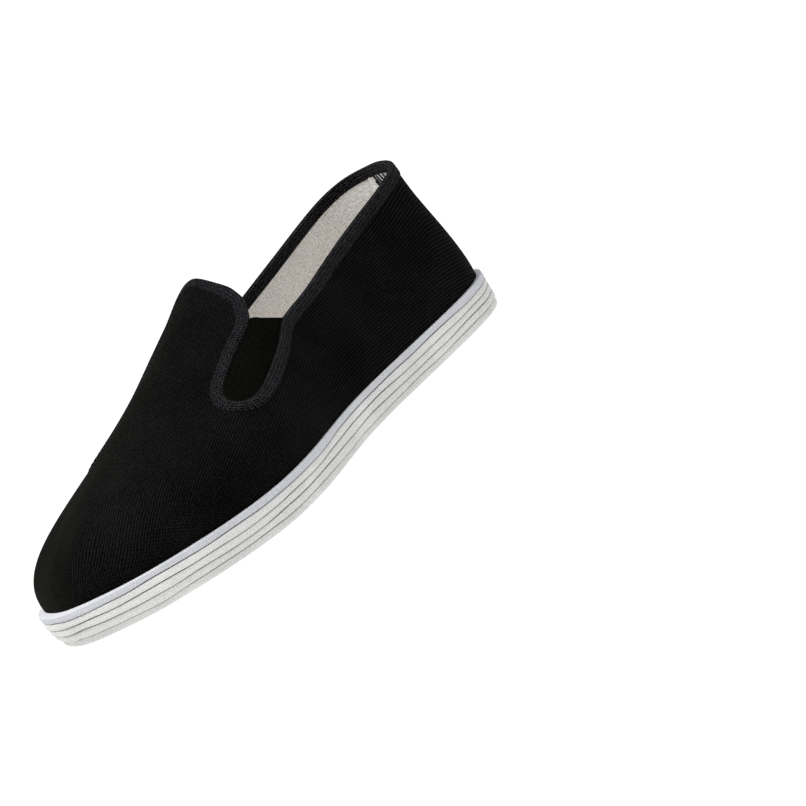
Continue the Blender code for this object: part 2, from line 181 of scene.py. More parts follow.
@dataclass
class Last:
    """The foot form that every piece is read from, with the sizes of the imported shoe."""

    length: float = 275.0
    ball_width: float = 100.0
    instep_height: float = 68.0
    toe_spring: float = 4.5
    spring_start: float = 0.70
    sole_height: float = 14.2
    wall: float = 2.0
    rim: float = 1.0
    heel_ledge: float = 1.2
    toe_ledge: float = 2.4
    end_tuck: float = 0.9
    margin: float = 80.0
    bell_width: float = 26.0
    middle_band: float = 4.0
    vamp_start: float = 130.0
    spline: ClosedSpline = field(init=False)
    centre: Array = field(init=False)

    def __post_init__(self) -> None:
        """Makes the spline of the sections and finds the shoe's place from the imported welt.

        A value of the spline is the section's half width at the sole and at the collar, then its other six numbers.
        """
        medial = np.array([[s.sole_medial, s.collar_medial, *s[4:]] for s in SECTIONS])
        lateral = np.array([[-s.sole_lateral, -s.collar_lateral, *s[4:]] for s in SECTIONS])
        rows = np.vstack([medial, lateral[-2:0:-1]])
        self.spline = ClosedSpline(np.arange(len(rows)) / len(rows), rows, 1.0)
        low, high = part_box("welt_layer")
        outline = self.sole_outline(np.linspace(0, 1, 721))
        middle = (outline.min(0) + outline.max(0)) / 2
        self.centre = np.array([middle[0] - (low.x + high.x) / 2 / MM, middle[1] + (low.y + high.y) / 2 / MM])

    def placed(self, points: Array) -> Array:
        """Turns x, distance from the heel and height in millimetres into the frame's metres."""
        x, y = points[..., 0] - self.centre[0], self.centre[1] - points[..., 1]
        return np.stack([x, y, points[..., 2]], -1) * MM

    def sole_edge(self, turn: Array) -> Array:
        """The feather edge's outline: x from the spline, and along the shoe half a cosine of the part of a side.

        Args:
            turn: places round the shoe.

        Returns:
            Plan points.
        """
        part = 1 - np.abs(1 - 2 * np.mod(turn, 1))
        along = self.length * (1 - np.cos(np.pi * part)) / 2
        return np.stack([self.ball_width * self.spline(turn)[..., 0], along], -1)

    def end_part(self, turn: Array) -> Array:
        """1 at the heel's and the toe's middle, falling to 0 at the sides: the fourth power of a cosine."""
        return np.cos(2 * np.pi * turn) ** 4

    def ledge(self, turn: Array) -> Array:
        """How much further than the feather edge's rim the welt stands out at the heel and at the toe."""
        return np.where(np.cos(2 * np.pi * turn) > 0, self.heel_ledge, self.toe_ledge) * self.end_part(turn)

    def sole_outline(self, turn: Array) -> Array:
        """Outline of the welt layer, which stands out further at the heel and at the toe."""
        return self.sole_edge(turn) + self.ledge(turn)[..., None] * self.outward(turn)

    def outward(self, turn: Array) -> Array:
        """Unit outward normals of the sole edge in plan, by a central difference."""
        along = unit(self.sole_edge(turn + SMALL_STEP) - self.sole_edge(turn - SMALL_STEP))
        return np.stack([along[..., 1], -along[..., 0]], -1)

    def spring(self, from_heel: Array) -> Array:
        """Rise of the sole off the floor: a parabola from the start of the toe spring."""
        part = np.clip((from_heel / self.length - self.spring_start) / (1 - self.spring_start), 0, None)
        return self.toe_spring * part ** 2

    def upper(self, turn: Array, rise: Array) -> Array:
        """Outer face of the upper: at each turn a cubic curve of four poles from the feather edge upwards.

        Args:
            turn: places round the shoe.
            rise: places up the wall, of a shape that fits turn.

        Returns:
            Points as x, distance from the heel and height, in millimetres.
        """
        turn, rise = np.broadcast_arrays(turn, rise)
        normal = self.outward(turn)
        values = np.moveaxis(self.spline(turn), -1, 0)
        _, collar, collar_from_heel, collar_height, wall_rise, bulge, reach, drop = values
        foot = self.sole_edge(turn) - (self.rim + self.end_tuck * self.end_part(turn))[..., None] * normal
        foot_z = self.sole_height + self.spring(foot[..., 1])
        edge = np.stack([self.ball_width * collar, self.length * collar_from_heel], -1)
        edge_z = self.sole_height + self.instep_height * collar_height
        poles = (
            (foot, foot_z),
            (foot + (self.ball_width * bulge)[..., None] * normal, foot_z + self.instep_height * wall_rise),
            (edge - reach[..., None] * (edge - foot), edge_z - self.instep_height * drop),
            (edge, edge_z),
        )
        weights = ((1 - rise) ** 3, 3 * rise * (1 - rise) ** 2, 3 * rise ** 2 * (1 - rise), rise ** 3)
        plan = sum(w[..., None] * p for w, (p, _) in zip(weights, poles))
        height = sum(w * z for w, (_, z) in zip(weights, poles))
        return np.concatenate([plan, height[..., None]], -1)

    def slopes(self, turn: Array, rise: Array) -> tuple[Array, Array, Array]:
        """The surface's slopes at places round the shoe and up the wall, by central differences.

        Args:
            turn: places round the shoe.
            rise: places up the wall.

        Returns:
            The slope by turn, the slope by rise and the unit normal across both.
        """
        step = SMALL_STEP
        by_turn = (self.upper(turn + step, rise) - self.upper(turn - step, rise)) / (2 * step)
        by_rise = (self.upper(turn, rise + step) - self.upper(turn, rise - step)) / (2 * step)
        return by_turn, by_rise, unit(np.cross(by_turn, by_rise))

    def off(self, place: Array, height: Array) -> Array:
        """Points at a height along the normal over places (turn, rise)."""
        normal = self.slopes(place[..., 0], place[..., 1])[2]
        return self.upper(place[..., 0], place[..., 1]) + np.asarray(height)[..., None] * normal

    def cloth_map(self, points: Array, side: Array) -> Array:
        """Cloth coordinates in millimetres for the run of the ribs, which go along the shoe.

        Across is the angle of a point over the section's ellipse, of the sole's half width and the vamp ridge's
        height, both averaged along the shoe with a bell curve, times the ellipse's mean radius. Along is the
        distance from the heel.

        Args:
            points: points on the upper.
            side: 1 on the medial side and -1 on the lateral side.

        Returns:
            Across and along in the last axis.
        """
        places = np.arange(-self.margin, self.length + self.margin + 1)
        half = self.sole_edge(np.linspace(0, 0.5, 200))
        ridge = self.upper(np.full(60, 0.5), np.linspace(1, 0, 60))
        bell = np.exp(-((np.arange(-60, 61) / self.bell_width) ** 2))
        even = (np.interp(places, *line.T) for line in (half[:, ::-1], ridge[:, 1:] - (0, self.sole_height)))
        smooth = (np.convolve(line, bell / bell.sum(), "same") for line in even)
        width, height = (
            np.maximum(np.interp(points[..., 1], places, line), least) for line, least in zip(smooth, (6.0, 12.0))
        )
        up = np.clip((points[..., 2] - self.sole_height) / height, 0, 1)
        x = points[..., 0]
        out = np.clip(np.abs(x) / width, 0, 1)
        radius = np.sqrt((width ** 2 + height ** 2) / 2)
        sign = np.where((np.abs(x) > self.middle_band) | (points[..., 1] > self.vamp_start), np.sign(x), side)
        return np.stack([sign * np.arctan2(out, up) * radius, points[..., 1]], -1)


@dataclass
class Opening:
    """The free edge of the collar, both slots and the throat, and lines that run beside it."""

    last: Last
    count: int = 720
    hop: float = 1.2
    chunk: int = 4000
    edge: Array = field(init=False)
    period: float = field(init=False)

    def __post_init__(self) -> None:
        """Runs a closed spline through the edge's points and spaces it evenly along its real length."""
        medial = [EdgePoint(t, 1.0) for t in COLLAR_TURNS] + [SLOT_TO_COLLAR, *SLOT, *SLOT_TO_THROAT]
        medial += [EdgePoint(t, 1.0) for t in THROAT_TURNS]
        points = np.array(medial + [EdgePoint(1 - p.turn, p.rise) for p in medial[-2:0:-1]])
        around = closed_run(self.last.upper(*points.T))[1]
        knots, total = around[:-1], around[-1]
        spline = ClosedSpline(knots, np.stack([points[:, 0] - knots / total, points[:, 1]], -1), total)
        fine = np.linspace(0, total, 6001)
        value = spline(fine) + np.stack([fine / total, np.zeros_like(fine)], -1)
        run = run_along(self.last.upper(*value.T))
        self.period = float(run[-1])
        even = np.interp(np.arange(self.count) * self.period / self.count, run, fine)
        self.edge = spline(even) + np.stack([even / total, np.zeros_like(even)], -1)

    def beside(self, distance: float) -> Array:
        """The edge moved over the surface, square to itself, by a real distance towards the sole.

        Args:
            distance: millimetres, negative into the opening.

        Returns:
            The moved edge as turn and rise.
        """
        edge = self.edge
        steps = max(2, int(abs(distance) / self.hop))
        for _ in range(steps):
            ahead, behind = np.roll(edge, -1, axis=0), np.roll(edge, 1, axis=0)
            ahead[-1, 0] += 1
            behind[0, 0] -= 1
            along = unit(self.last.upper(*ahead.T) - self.last.upper(*behind.T))
            by_turn, by_rise, normal = self.last.slopes(*edge.T)
            across = np.cross(along, normal)
            step = np.einsum("nij,nj->ni", np.linalg.pinv(np.stack([by_turn, by_rise], -1)), across)
            edge = edge + step * distance / steps
        return edge

    def slot(self, lateral: bool) -> Array:
        """Finds one slot on the edge.

        Args:
            lateral: whether it is the slot on the lateral side.

        Returns:
            Indices of the edge from the slot's rear corner round its closed end to its front corner.
        """
        half = np.arange(self.count // 2)
        side = -half % self.count if lateral else half
        rise = self.edge[side, 1]
        start = int(np.argmax(rise < SLOT[0].rise))
        end = len(rise) - int(np.argmax(rise[::-1] < SLOT[-1].rise))
        return side[start:end]

    def cloth_under(self, line: Array, turn: Array, rise: Array) -> Array:
        """Which places lie on the sole's side of a line beside the edge, by counting crossings.

        Args:
            line: a closed line of turn and rise that goes once round the shoe.
            turn: places round the shoe, between 0 and 1.
            rise: places up the wall.

        Returns:
            True for each place under the line.
        """
        start = line[0, 0]
        outline = np.vstack([line, [line[0] + (1, 0)], [start + 1, -1], [start, -1]])
        after = np.roll(outline, -1, axis=0)
        x = start + np.mod(turn.ravel() - start, 1)
        y = rise.ravel()
        odd = np.zeros(len(x), bool)
        for chunk in np.array_split(np.arange(len(x)), max(1, len(x) // self.chunk)):
            spans = (outline[:, 1] > y[chunk, None]) != (after[:, 1] > y[chunk, None])
            fall = np.where(after[:, 1] == outline[:, 1], 1.0, after[:, 1] - outline[:, 1])
            cross = outline[:, 0] + (y[chunk, None] - outline[:, 1]) * (after[:, 0] - outline[:, 0]) / fall
            odd[chunk] = (spans & (x[chunk, None] < cross)).sum(1) % 2 == 1
        return odd.reshape(turn.shape)


# Meshes


def grid_faces(rows: int, columns: int, ring: bool = True, closed_rows: bool = False) -> Array:
    """Faces of a grid of points numbered row by row.

    Args:
        rows: number of rows.
        columns: number of points in a row.
        ring: whether each row closes on itself.
        closed_rows: whether the last row joins the first.

    Returns:
        Four point numbers for each face.
    """
    i, j = np.meshgrid(
        np.arange(rows if closed_rows else rows - 1), np.arange(columns if ring else columns - 1), indexing="ij"
    )
    down, across = (i + 1) % rows, (j + 1) % columns
    corners = (i * columns + j, i * columns + across, down * columns + across, down * columns + j)
    return np.stack(corners, -1).reshape(-1, 4)


def wall_faces(front: Array, size: int) -> Array:
    """Faces of a wall: a front, its copy behind it, and a rim along every edge that has one face only.

    Args:
        front: faces of the front, as rows of four.
        size: how many points the front has. The points behind follow them in the same order.

    Returns:
        All faces, as rows of four.
    """
    sides = np.concatenate([front[:, [k, (k + 1) % 4]] for k in range(4)])
    keys = np.sort(sides, axis=1) @ np.array([size, 1])
    _, first, counts = np.unique(keys, return_index=True, return_counts=True)
    free = sides[first[counts == 1]]
    rim = np.stack([free[:, 1], free[:, 0], free[:, 0] + size, free[:, 1] + size], -1)
    return np.concatenate([front, front[:, ::-1] + size, rim])


def add_object(name: str, data: bpy.types.ID) -> bpy.types.Object:
    """Adds an object to the scene.

    Args:
        name: name of the object.
        data: its mesh, light or camera.

    Returns:
        The new object.
    """
    item = bpy.data.objects.new(name, data)
    bpy.context.scene.collection.objects.link(item)
    return item


def make_piece(
    name: str,
    points: Array,
    faces: Array,
    materials: Sequence[bpy.types.Material],
    cloth: Optional[Array] = None,
    picks: Optional[Array] = None,
    sharp: float = 60.0,
    period: float = 0.0,
) -> bpy.types.Object:
    """Puts a closed mesh into an object at the origin that rides on the shoe, with its faces outward.

    Args:
        name: name of the piece.
        points: places in the frame's metres.
        faces: rows of four point numbers.
        materials: the piece's materials.
        cloth: the cloth coordinates of each point, in millimetres.
        picks: which material each face takes.
        sharp: angle in degrees over which an edge is drawn sharp.
        period: length after which the second cloth coordinate starts again, 0 where it doesn't.

    Returns:
        The new object.
    """
    used, faces = np.unique(faces, return_inverse=True)
    faces = faces.reshape(-1, 4)
    corners = points.reshape(-1, 3)[used][faces]
    diagonals = np.cross(corners[:, 2] - corners[:, 0], corners[:, 3] - corners[:, 1])
    if np.einsum("ni,ni->", corners.mean(1), diagonals) < 0:
        faces = faces[:, ::-1]
    mesh = bpy.data.meshes.new(name)
    mesh.vertices.add(len(used))
    mesh.vertices.foreach_set("co", points.reshape(-1, 3)[used].astype(np.float32).ravel())
    mesh.loops.add(faces.size)
    mesh.loops.foreach_set("vertex_index", faces.astype(np.int32).ravel())
    mesh.polygons.add(len(faces))
    mesh.polygons.foreach_set("loop_start", np.arange(len(faces), dtype=np.int32) * 4)
    if cloth is not None:
        layer = mesh.uv_layers.new(name=UV_NAME)
        spots = cloth.reshape(-1, 2)[used][faces]
        closing = (np.ptp(spots[..., 1:], axis=1, keepdims=True) > period / 2) & (spots[..., 1:] < period / 2)
        spots[..., 1:] += period * closing
        layer.uv.foreach_set("vector", spots.astype(np.float32).ravel())
    for material in materials:
        mesh.materials.append(material)
    if picks is not None:
        mesh.polygons.foreach_set("material_index", picks.astype(np.int32))
    mesh.update(calc_edges=True)
    mesh.validate()
    mesh.shade_smooth()
    mesh.set_sharp_from_angle(angle=math.radians(sharp))
    item = add_object(name, mesh)
    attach(item, "root")
    LOG.info("%s: %d faces", name, len(faces))
    return item


def make_shell(
    name: str, last: Last, sides: Sequence[Array], front: Array, material: bpy.types.Material, cloth: Array
) -> bpy.types.Object:
    """Makes a wall from a grid of points, the grid behind it and a rim.

    Args:
        name: name of the piece.
        last: the form, for placing.
        sides: the outer and the inner grid.
        front: faces of the outer grid.
        material: the cloth.
        cloth: cloth coordinates of one grid.

    Returns:
        The new piece.
    """
    points = last.placed(np.concatenate([side.reshape(-1, 3) for side in sides]))
    faces = wall_faces(front, cloth[..., 0].size)
    return make_piece(name, points, faces, [material], np.concatenate([cloth.reshape(-1, 2)] * 2))


def unit(vectors: Array) -> Array:
    """Vectors of length 1 in the same directions."""
    return vectors / np.linalg.norm(vectors, axis=-1, keepdims=True)


def read_at(at: Array, run: Array, line: Array) -> Array:
    """Points of a line at given distances along it."""
    return np.stack([np.interp(at, run, column) for column in line.T], -1)


def run_along(line: Array) -> Array:
    """Distance along a line at each of its points."""
    return np.concatenate([[0.0], np.cumsum(np.linalg.norm(np.diff(line, axis=0), axis=1))])


def closed_run(line: Array) -> tuple[Array, Array]:
    """A closed line with its first point again at its end, and the distance along it."""
    closed = np.vstack([line, line[:1]])
    return closed, run_along(closed)


def waver(turn: Array, seed: int, size: float) -> Array:
    """An uneven closed line: a sum of four sines with whole numbers of waves round the shoe.

    Args:
        turn: places round the shoe.
        seed: shifts the waves, so that no two lines match.
        size: about how far the line strays, in millimetres.

    Returns:
        The stray at each place.
    """
    waves = ((5, 0.45), (11, 0.30), (19, 0.20), (31, 0.12))
    return size * sum(a * np.sin(2 * np.pi * (n * turn + 0.37 * seed * (n % 7 + 1))) for n, a in waves)


# Finishes


def linear(code: str) -> tuple[float, float, float, float]:
    """Turns an sRGB hex value into a linear colour.

    Args:
        code: a hash sign and six hex digits.

    Returns:
        Red, green, blue and alpha.
    """
    parts = [int(code[i:i + 2], 16) / 255 for i in (1, 3, 5)]
    red, green, blue = (p / 12.92 if p <= 0.04045 else ((p + 0.055) / 1.055) ** 2.4 for p in parts)
    return red, green, blue, 1.0


def add_node(
    tree: bpy.types.NodeTree, kind: str, settings: dict[str, Any], inputs: dict[Any, Any]
) -> bpy.types.Node:
    """Adds a node, sets its properties, and fills or links its sockets.

    Args:
        tree: the node tree.
        kind: the node's type.
        settings: values of its properties.
        inputs: a value or an output socket for each named or numbered input.

    Returns:
        The new node.
    """
    node = tree.nodes.new(kind)
    for name, value in settings.items():
        setattr(node, name, value)
    for key, value in inputs.items():
        if isinstance(value, bpy.types.NodeSocket):
            tree.links.new(value, node.inputs[key])
        else:
            node.inputs[key].default_value = value
    return node


def combine(tree: bpy.types.NodeTree, operation: str, *values: Any, clamp: bool = False) -> bpy.types.NodeSocket:
    """Adds a math node.

    Args:
        tree: the node tree.
        operation: what it does.
        values: a number or an output socket for each input in turn.
        clamp: whether the result is kept between 0 and 1.

    Returns:
        The node's output socket.
    """
    settings = {"operation": operation, "use_clamp": clamp}
    return add_node(tree, "ShaderNodeMath", settings, dict(enumerate(values))).outputs[0]


class Weave(Enum):
    """How the threads of a cloth cross."""

    RIB = "ribs along the cloth, each of short slanted threads"
    PLAIN = "threads over and under in turn"
    KNIT = "rows of loops, each row slanted against the next"
    SLANTED = "fine threads that cross the strip at a slant"


# How far the crossing threads lean, in turns of a thread for each turn of a rib
LEAN = {Weave.RIB: 0.7, Weave.PLAIN: 0.0, Weave.KNIT: 0.0, Weave.SLANTED: 1.2}
# How strong the crossing threads are beside the ribs
THREAD_SHARE = {Weave.RIB: 0.35, Weave.KNIT: 1.6, Weave.SLANTED: 1.5}
ZIGZAG = 1.4
NOISE_SPREAD = 2.4


@dataclass(frozen=True)
class ClothFinish:
    """A woven or knitted cloth: two shades of thread, a weave at its real spacing and uneven patches."""

    name: str
    dark: str
    light: str
    weave: Weave
    across_mm: float
    along_mm: float
    height_mm: float
    contrast: float = 0.5
    fleck: float = 0.3
    fleck_mm: float = 0.8
    rare: float = 1.0
    patch: float = 0.15
    patch_mm: float = 30.0
    roughness: float = 0.9
    specular: float = 0.2
    sheen: float = 0.0
    sheen_tint: str = "#FFFFFF"
    sheen_roughness: float = 0.4

    def pattern(self, tree: bpy.types.NodeTree, across: Any, along: Any) -> Any:
        """Height of the weave from 0 to 1, as products of sines of the cloth coordinates.

        Args:
            tree: the material's node tree.
            across: socket of the coordinate across the ribs, in millimetres.
            along: socket of the coordinate along them.

        Returns:
            The socket of the height.
        """
        a = combine(tree, "MULTIPLY", across, 2 * math.pi / self.across_mm)
        b = combine(tree, "MULTIPLY", along, 2 * math.pi / self.along_mm)
        if self.weave is Weave.KNIT:
            b = combine(tree, "MULTIPLY_ADD", combine(tree, "SINE", a), ZIGZAG, b)
        rib = combine(tree, "SINE", a)
        thread = combine(tree, "SINE", combine(tree, "MULTIPLY_ADD", a, LEAN[self.weave], b))
        if self.weave is Weave.PLAIN:
            both = combine(tree, "MULTIPLY", rib, thread)
        else:
            both = combine(tree, "MULTIPLY_ADD", thread, THREAD_SHARE[self.weave], rib)
        return combine(tree, "MULTIPLY_ADD", both, 0.3, 0.5)

    def build(self) -> bpy.types.Material:
        """Makes the material: weave, flecks and patches set the colour, weave and flecks the relief.

        Returns:
            The new material.
        """
        material = bpy.data.materials.new(self.name)
        material.use_nodes = True
        tree = material.node_tree
        shader = tree.nodes["Principled BSDF"]
        uv = add_node(tree, "ShaderNodeUVMap", {"uv_map": UV_NAME}, {})
        split = add_node(tree, "ShaderNodeSeparateXYZ", {}, {0: uv.outputs[0]})
        place = add_node(tree, "ShaderNodeTexCoord", {}, {}).outputs["Object"]
        weave = self.pattern(tree, split.outputs[0], split.outputs[1])
        flecks, patches = (
            add_node(
                tree,
                "ShaderNodeTexNoise",
                {"noise_dimensions": "3D"},
                {"Vector": place, "Scale": 1 / (size * MM), "Detail": detail, "Roughness": roughness},
            ).outputs["Fac"]
            for size, detail, roughness in ((self.fleck_mm, 2.0, 0.6), (self.patch_mm, 3.0, 0.55))
        )
        shade = combine(tree, "MULTIPLY_ADD", weave, self.contrast, 0.5 - self.contrast / 2)
        for noise, strength, clamp in ((flecks, self.fleck, False), (patches, self.patch, True)):
            uneven = combine(tree, "SUBTRACT", noise, 0.5)
            shade = combine(tree, "MULTIPLY_ADD", uneven, NOISE_SPREAD * strength, shade, clamp=clamp)
        shade = combine(tree, "POWER", shade, self.rare)
        mixed = {0: shade, 6: linear(self.dark), 7: linear(self.light)}
        colour = add_node(tree, "ShaderNodeMix", {"data_type": "RGBA"}, mixed)
        relief = combine(tree, "MULTIPLY_ADD", flecks, self.fleck, weave)
        bump = {"Strength": 1.0, "Distance": self.height_mm * MM, "Height": relief}
        tree.links.new(colour.outputs[2], shader.inputs["Base Color"])
        tree.links.new(add_node(tree, "ShaderNodeBump", {}, bump).outputs[0], shader.inputs["Normal"])
        for name, value in (
            ("Roughness", self.roughness),
            ("Specular IOR Level", self.specular),
            ("Sheen Weight", self.sheen),
            ("Sheen Roughness", self.sheen_roughness),
            ("Sheen Tint", linear(self.sheen_tint)),
        ):
            shader.inputs[name].default_value = value
        return material


# Black cotton twill, woven and vat dyed: ribs that run along the vamp and a brownish bloom seen at a slant
TWILL = ClothFinish(
    "black_cotton_twill_woven", "#010101", "#212120", Weave.RIB, 1.05, 0.9, 0.30, contrast=0.8, fleck=0.8,
    fleck_mm=0.45, rare=2.2, patch=0.25, specular=0.015, sheen=0.04, sheen_tint="#B0A58C", sheen_roughness=0.18,
)
# Charcoal cotton tape, knitted: coarse loops with lighter flecks, which catch more light than the twill
TAPE = ClothFinish(
    "charcoal_cotton_tape_knitted", "#010102", "#39393C", Weave.KNIT, 1.3, 1.1, 0.30, contrast=0.7, fleck=1.5,
    fleck_mm=0.5, rare=2.8, specular=0.03, sheen=0.03, sheen_roughness=0.22,
)
# Black elastic webbing, woven with rubber cores: narrow ribs lengthwise, the darkest cloth on the shoe
ELASTIC = ClothFinish(
    "black_elastic_webbing_woven", "#010101", "#0F0F0B", Weave.RIB, 1.0, 0.7, 0.15, contrast=0.9, fleck=0.9,
    specular=0.015,
)
# Unbleached cotton calico, plain woven: a warm light grey with speckled threads
LINING = ClothFinish(
    "grey_cotton_calico_woven", "#C2BDB7", "#FFFDFA", Weave.PLAIN, 1.1, 1.1, 0.16, contrast=0.6, fleck=0.9,
    fleck_mm=0.7, patch=0.2, specular=0.1,
)
# Bleached cotton sheeting, folded over each sole layer: fine threads slant across the edge
SOLE_CLOTH = ClothFinish(
    "white_cotton_sheeting_folded", "#CECECD", "#F0F0ED", Weave.SLANTED, 0.9, 1.0, 0.09, contrast=0.5, fleck=0.5,
    fleck_mm=0.7, patch=0.5, patch_mm=22.0, specular=0.15,
)
# The same sheeting with optical whitener, which turns it bluish, as on the welt and under the sole
WELT_CLOTH = ClothFinish(
    "bluish_cotton_sheeting_folded", "#C0C1C6", "#DCDDE3", Weave.SLANTED, 0.9, 1.0, 0.10, contrast=0.5, fleck=0.5,
    fleck_mm=0.7, patch=0.3, patch_mm=22.0, specular=0.15,
)
# Cream cotton cord, hand twisted and waxed, for the stitches that quilt the sole
CORD = ClothFinish(
    "cream_cotton_cord_twisted", "#C9BFA8", "#EDE6D6", Weave.SLANTED, 0.8, 0.8, 0.15, contrast=0.5, fleck=0.3,
    specular=0.2,
)
# White cotton thread, machine sewn, at the inner edge of the sole's border
WHITE_THREAD = ClothFinish(
    "white_cotton_thread_twisted", "#D2D2D4", "#F0F0F2", Weave.SLANTED, 0.5, 0.5, 0.05, specular=0.2
)
# Black cotton thread, hand sewn, at the top of the back seam and along the tape
BLACK_THREAD = ClothFinish(
    "black_cotton_thread_twisted", "#09090A", "#2B2B30", Weave.SLANTED, 0.5, 0.5, 0.05, specular=0.1
)
# Painted shade inside a needle hole: a dark finish for the grains that stand for the awl's holes
HOLE_SHADE = ClothFinish("shaded_needle_hole", "#1A1814", "#2C2924", Weave.PLAIN, 0.5, 0.5, 0.0, specular=0.0)


@dataclass
class Wardrobe:
    """Every finish, made once."""

    made: dict[str, bpy.types.Material] = field(default_factory=dict)

    def get(self, finish: ClothFinish) -> bpy.types.Material:
        """The material of a finish, made when it is first asked for."""
        if finish.name not in self.made:
            self.made[finish.name] = finish.build()
        return self.made[finish.name]


# The upper


class Crease(NamedTuple):
    """A soft trough, or a ridge where its depth is negative, along a line between two places on the upper."""

    start_turn: float
    start_rise: float
    end_turn: float
    end_rise: float
    width: float
    depth: float


CREASES = (
    Crease(0.452, 0.10, 0.470, 0.34, 5.0, 0.55),
    Crease(0.485, 0.06, 0.492, 0.30, 6.0, -0.45),
    Crease(0.520, 0.10, 0.515, 0.36, 6.0, 0.50),
    Crease(0.430, 0.22, 0.452, 0.46, 7.0, -0.40),
    Crease(0.405, 0.16, 0.425, 0.34, 6.0, 0.40),
    Crease(0.545, 0.15, 0.560, 0.40, 9.0, 0.25),
    Crease(0.470, 0.55, 0.530, 0.58, 8.0, 0.35),
    Crease(0.400, 0.46, 0.450, 0.60, 7.0, 0.30),
    Crease(0.300, 0.20, 0.330, 0.36, 8.0, 0.45),
    Crease(0.210, 0.25, 0.250, 0.55, 9.0, 0.40),
    Crease(0.110, 0.20, 0.150, 0.50, 10.0, -0.40),
    Crease(0.060, 0.30, 0.080, 0.70, 8.0, 0.35),
    Crease(0.690, 0.22, 0.670, 0.40, 8.0, 0.45),
    Crease(0.790, 0.25, 0.750, 0.55, 9.0, 0.40),
    Crease(0.880, 0.22, 0.850, 0.55, 10.0, -0.40),
    Crease(0.940, 0.30, 0.925, 0.65, 8.0, 0.35),
    Crease(0.815, 0.775, 0.862, 0.650, 2.2, 0.90),
)


@dataclass
class Upper:
    """The twill, its lining and the back seam."""

    last: Last
    opening: Opening
    wardrobe: Wardrobe
    columns: int = 440
    rows: int = 84
    twill_thickness: float = 0.9
    lining_thickness: float = 0.9
    seam_width: float = 1.1
    seam_depth: float = 0.55
    swell_height: float = 0.25
    swell_place: float = 2.6
    swell_width: float = 1.4
    tuck: float = 2.6
    lining_tuck: float = 4.0
    foot_share: float = 0.27
    smooth_foot: float = 0.06

    def relief(self, turn: Array, rise: Array, points: Array) -> Array:
        """Height of the creases over the plain surface: each is a bell curve of the distance from its line.

        Args:
            turn: places round the shoe.
            rise: places up the wall.
            points: the surface there.

        Returns:
            The height in millimetres.
        """
        height = np.zeros(points.shape[:-1])
        share = np.linspace(0, 1, 9)
        for crease in CREASES:
            line = self.last.upper(*(crease[:2] + share[:, None] * np.subtract(crease[2:4], crease[:2])).T)
            distance = np.linalg.norm(points[..., None, :] - line, axis=-1).min(-1)
            height -= crease.depth * np.exp(-((distance / crease.width) ** 2))
        return height * np.clip(rise / self.smooth_foot, 0, 1)

    def seam(self, points: Array) -> Array:
        """Height of the back seam: a narrow bell-shaped groove between two soft swells at the heel's middle.

        Args:
            points: points on the upper.

        Returns:
            The height over the plain surface, in millimetres.
        """
        side = np.abs(points[..., 0])
        heel = np.clip((40 - points[..., 1]) / 10, 0, 1)
        groove = self.seam_depth * np.exp(-((side / self.seam_width) ** 2))
        swell = self.swell_height * np.exp(-(((side - self.swell_place) / self.swell_width) ** 2))
        return heel * (swell - groove)

    def sheet(
        self, name: str, top: float, thickness: float, tuck: float, finish: ClothFinish, scale: float
    ) -> bpy.types.Object:
        """One layer of the wall as a closed shell, from the feather edge to a line hidden under the tape.

        Args:
            name: name of the piece.
            top: height of its outer face over the last's surface.
            thickness: its thickness, inwards.
            tuck: how far under the tape it ends, measured from the free edge.
            finish: its finish.
            scale: share of the full grid that it gets.

        Returns:
            The new piece.
        """
        columns, rows = int(self.columns * scale), int(self.rows * scale)
        turn, rise = np.meshgrid(np.arange(columns) / columns, np.linspace(0, 1, rows), indexing="xy")
        surface = self.last.upper(turn, rise)
        normal = self.last.slopes(turn, rise)[2]
        lift = self.relief(turn, rise, surface) + self.seam(surface)
        normal[..., 2] *= np.clip(rise / self.foot_share, 0, 1)
        normal = unit(normal)
        outer = surface + (top + lift)[..., None] * normal
        inner = outer - thickness * normal
        middle_turn = turn + 0.5 / columns
        middle_rise = rise + 0.5 / (rows - 1)
        inside = self.opening.cloth_under(self.opening.beside(tuck), middle_turn[:-1], middle_rise[:-1])
        front = grid_faces(rows, columns)[inside.ravel()]
        cloth = self.last.cloth_map(surface, np.where(turn < 0.5, 1.0, -1.0))
        return make_shell(name, self.last, (outer, inner), front, self.wardrobe.get(finish), cloth)

    def build(self) -> None:
        """Makes the twill and the lining."""
        twill = self.sheet("upper_twill", 0.0, self.twill_thickness, self.tuck, TWILL, 1.0)
        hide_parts("upper")
        inner_top = -(self.last.wall - self.lining_thickness)
        lining = self.sheet("upper_lining", inner_top, self.lining_thickness, self.lining_tuck, LINING, 0.72)


